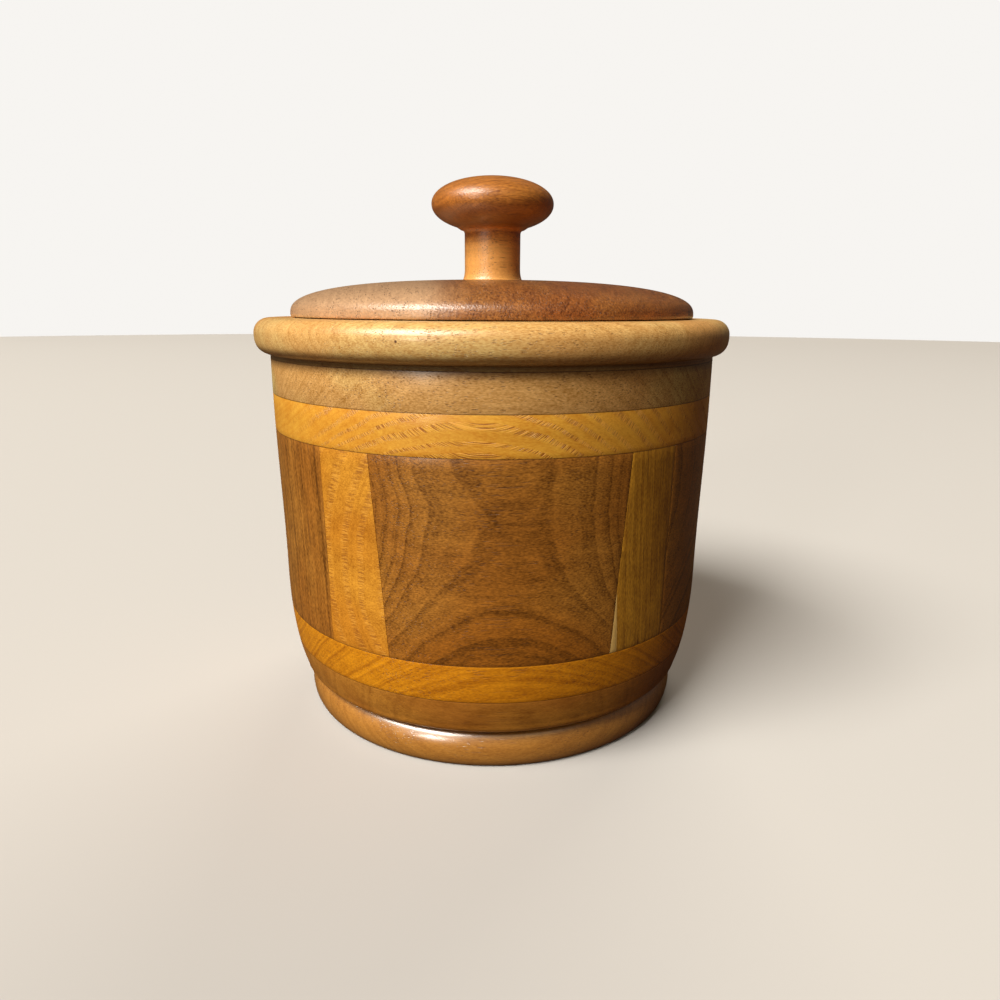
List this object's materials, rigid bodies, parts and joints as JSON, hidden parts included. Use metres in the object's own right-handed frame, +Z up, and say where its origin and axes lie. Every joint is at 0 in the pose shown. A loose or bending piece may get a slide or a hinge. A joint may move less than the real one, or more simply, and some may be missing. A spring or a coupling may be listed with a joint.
{
  "type": "wooden canister",
  "caption": "Round turned canister of laminated contrasting woods, with a beaded rim and foot and a lift-off domed lid with a mushroom knob.",
  "frame": {"origin": "on the turning axis at table height, the middle of the underside", "axes": "+Z up along the turning axis, -Y towards the front, where the tapered dark stave is"},
  "size_m": [0.1716, 0.1716, 0.1927],
  "materials": {
    "knob_wood": "satin",
    "lid_wood": "satin",
    "rim_wood": "satin",
    "upper_band_wood": "satin",
    "yellow_band_wood": "satin",
    "dark_stave_wood": "satin",
    "light_stave_wood": "satin",
    "lower_band_wood": "satin",
    "base_wood": "satin",
    "foot_wood": "satin"
  },
  "bodies": {
    "canister": {"foot": "foot_wood", "base_board": "base_wood", "lower_band": "lower_band_wood", "dark_stave_1": "dark_stave_wood", "light_stave_1": "light_stave_wood", "dark_stave_2": "dark_stave_wood", "light_stave_2": "light_stave_wood", "dark_stave_3": "dark_stave_wood", "light_stave_3": "light_stave_wood", "dark_stave_4": "dark_stave_wood", "light_stave_4": "light_stave_wood", "dark_stave_5": "dark_stave_wood", "light_stave_5": "light_stave_wood", "yellow_band": "yellow_band_wood", "upper_band": "upper_band_wood", "rim": "rim_wood"},
    "lid": {"lid": "lid_wood", "knob": "knob_wood"}
  },
  "joints": [
    {"name": "lid_lift", "type": "slide", "parent": "canister", "child": "lid", "axis": [0, 0, 1], "range_m": [0, 0.08]}
  ]
}
